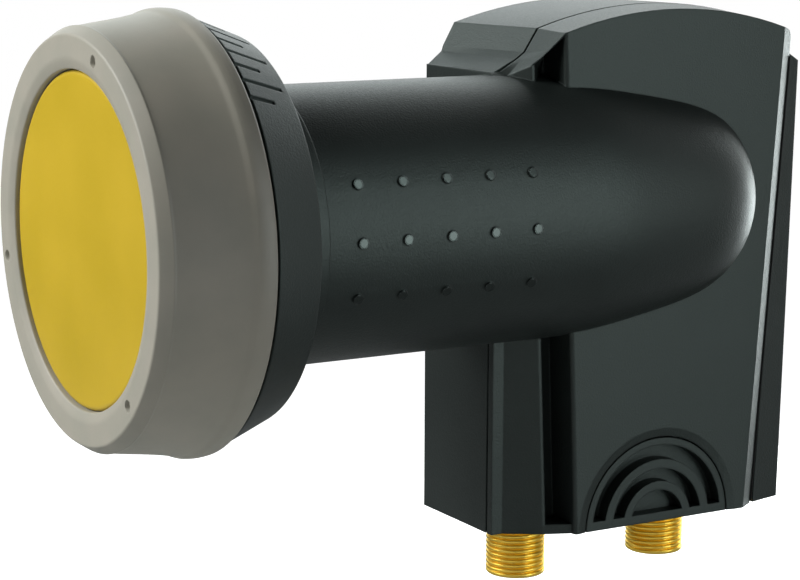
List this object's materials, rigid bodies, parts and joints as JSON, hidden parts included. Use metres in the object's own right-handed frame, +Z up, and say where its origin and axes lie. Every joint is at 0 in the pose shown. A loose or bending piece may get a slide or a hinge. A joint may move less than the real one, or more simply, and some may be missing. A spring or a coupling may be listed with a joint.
{
  "type": "satellite lnb",
  "caption": "Satellite LNB: capped feed horn on a round clamp neck, moulded housing with an arched crown and threaded F ports pointing down.",
  "frame": {"origin": "on the neck's axis, in the middle of the zone that a dish arm's clamp grips", "axes": "+X along the neck from the feed window to the housing, +Z up with the F ports pointing down, +Y to the housing's flat far side"},
  "size_m": [0.1213, 0.0626, 0.0915],
  "materials": {
    "ring_plastic": "satin, warm grey",
    "window_plastic": "satin yellow",
    "black_plastic": "finely textured black",
    "seal_rubber": "matt",
    "casting": "as cast",
    "steel": "plated",
    "board": "solder resist",
    "chip_plastic": "moulded",
    "bead_plastic": "white, waxy",
    "gilt": "gold plated"
  },
  "bodies": {
    "root": {"cap_ring": "ring_plastic", "window": "window_plastic", "cap_seal": "seal_rubber", "skew_collar": "black_plastic", "near_shell": "black_plastic", "far_shell": "black_plastic", "arch_insert": "black_plastic", "feed_horn": "casting", "chassis_lid": "casting", "lid_gasket": "seal_rubber", "lid_screws": "steel", "absorber_pad": "seal_rubber", "circuit_board": "board", "mixer_chip": "chip_plastic", "reference_crystal": "steel", "regulators": "chip_plastic", "lna_transistors": "chip_plastic", "vertical_probe": "gilt", "horizontal_probe": "gilt", "vertical_bead": "bead_plastic", "horizontal_bead": "bead_plastic", "isolation_bar": "gilt", "port_1_body": "gilt", "port_1_insulator": "bead_plastic", "port_1_contact": "gilt", "port_1_seal": "seal_rubber", "port_2_body": "gilt", "port_2_insulator": "bead_plastic", "port_2_contact": "gilt", "port_2_seal": "seal_rubber"}
  },
  "joints": []
}
